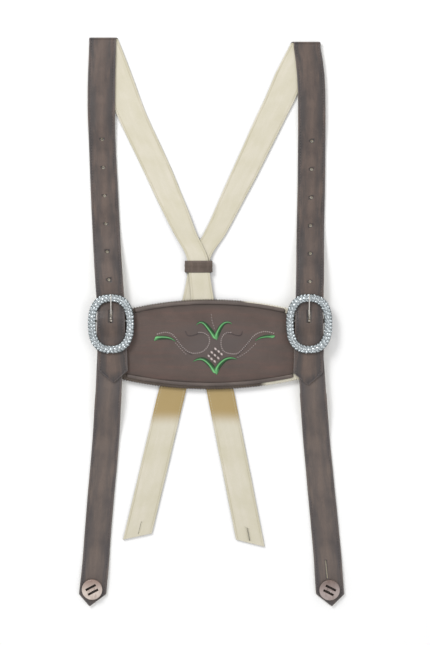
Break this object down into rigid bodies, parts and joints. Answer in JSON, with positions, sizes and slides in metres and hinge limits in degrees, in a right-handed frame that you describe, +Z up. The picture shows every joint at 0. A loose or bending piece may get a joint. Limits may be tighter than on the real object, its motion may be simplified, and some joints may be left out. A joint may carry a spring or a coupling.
{
  "type": "leather suspenders",
  "caption": "Leather suspenders with crossed back straps, buckled shoulder straps, an embroidered chest plate and horn buttons, laid flat.",
  "frame": {"origin": "under the middle of the outline, on the surface that the suspenders lie on", "axes": "+X across the wearer, towards the right of the picture plane; +Y up towards the shoulder folds; +Z up from the surface, out of the front face"},
  "size_m": [0.3381, 0.7242, 0.0192],
  "materials": {
    "brown_leather": "worn matt grain",
    "lining_leather": "matt suede",
    "plate_leather": "satin grain",
    "backing_leather": "matt, pinked edge",
    "piping_leather": "satin, rolled",
    "green_embroidery": "satin stitch thread",
    "pale_embroidery": "stitch thread",
    "antique_silver": "antique silver, chased",
    "horn": "polished natural horn",
    "thong_leather": "matt thong"
  },
  "bodies": {
    "back_straps": {"back_strap_left_outer": "brown_leather", "back_strap_left_lining": "lining_leather", "back_strap_right_outer": "brown_leather", "back_strap_right_lining": "lining_leather"},
    "keeper": {"crossing_keeper": "brown_leather"},
    "back_tail_left": {"back_tail_left_outer": "brown_leather", "back_tail_left_lining": "lining_leather"},
    "back_tail_right": {"back_tail_right_outer": "brown_leather", "back_tail_right_lining": "lining_leather"},
    "front": {"front_strap_left_outer": "brown_leather", "front_strap_left_lining": "lining_leather", "front_strap_right_outer": "brown_leather", "front_strap_right_lining": "lining_leather", "chest_plate_leather": "plate_leather", "chest_plate_backing": "backing_leather", "piping_top": "piping_leather", "piping_bottom": "piping_leather", "embroidery_leaves": "green_embroidery", "embroidery_scrolls": "pale_embroidery", "buckle_tab_left": "brown_leather", "buckle_tab_right": "brown_leather"},
    "buckle_left": {"buckle_frame_left": "antique_silver", "buckle_bar_left": "antique_silver"},
    "prong_left": {"prong_left": "antique_silver"},
    "front_tail_left": {"front_tail_left_outer": "brown_leather", "front_tail_left_lining": "lining_leather"},
    "button_left": {"horn_button_left": "horn", "button_thong_left": "thong_leather", "button_washer_left": "thong_leather"},
    "buckle_right": {"buckle_frame_right": "antique_silver", "buckle_bar_right": "antique_silver"},
    "prong_right": {"prong_right": "antique_silver"},
    "front_tail_right": {"front_tail_right_outer": "brown_leather", "front_tail_right_lining": "lining_leather"},
    "button_right": {"horn_button_right": "horn", "button_thong_right": "thong_leather", "button_washer_right": "thong_leather"}
  },
  "joints": [
    {"name": "shoulder_fold", "type": "hinge", "parent": "back_straps", "child": "front", "pos_m": [0, 0.35656, 0.00265], "axis": [-0.9998, 0.0208, 0], "range_deg": [0, 170]},
    {"name": "keeper_slide", "type": "slide", "parent": "back_straps", "child": "keeper", "axis": [0, 1, 0], "range_m": [-0.004, 0.004]},
    {"name": "back_tail_left_bend", "type": "hinge", "parent": "back_straps", "child": "back_tail_left", "pos_m": [-0.052, -0.093, 0.0012], "axis": [-1, 0, 0], "range_deg": [0, 90]},
    {"name": "back_tail_right_bend", "type": "hinge", "parent": "back_straps", "child": "back_tail_right", "pos_m": [0.012, -0.093, 0.0012], "axis": [-1, 0, 0], "range_deg": [0, 90]},
    {"name": "buckle_left_rock", "type": "hinge", "parent": "front", "child": "buckle_left", "pos_m": [-0.1275, 0.0009, 0.0119], "axis": [1, 0, 0], "range_deg": [-2, 2]},
    {"name": "prong_left_swing", "type": "hinge", "parent": "buckle_left", "child": "prong_left", "pos_m": [-0.1275, 0.0009, 0.0119], "axis": [1, 0, 0], "range_deg": [0, 90]},
    {"name": "front_tail_left_bend", "type": "hinge", "parent": "front", "child": "front_tail_left", "pos_m": [-0.131, -0.092, 0.0098], "axis": [-1, 0, 0], "range_deg": [0, 90]},
    {"name": "button_left_turn", "type": "hinge", "parent": "front_tail_left", "child": "button_left", "pos_m": [-0.1522, -0.3407, 0.0036], "axis": [0, 0, 1], "range_deg": [-20, 20]},
    {"name": "buckle_right_rock", "type": "hinge", "parent": "front", "child": "buckle_right", "pos_m": [0.1234, 0.0009, 0.0119], "axis": [1, 0, 0], "range_deg": [-2, 2]},
    {"name": "prong_right_swing", "type": "hinge", "parent": "buckle_right", "child": "prong_right", "pos_m": [0.1234, 0.0009, 0.0119], "axis": [1, 0, 0], "range_deg": [0, 90]},
    {"name": "front_tail_right_bend", "type": "hinge", "parent": "front", "child": "front_tail_right", "pos_m": [0.1289, -0.092, 0.0098], "axis": [-1, 0, 0], "range_deg": [0, 90]},
    {"name": "button_right_turn", "type": "hinge", "parent": "front_tail_right", "child": "button_right", "pos_m": [0.15, -0.3414, 0.0036], "axis": [0, 0, 1], "range_deg": [-20, 20]}
  ]
}
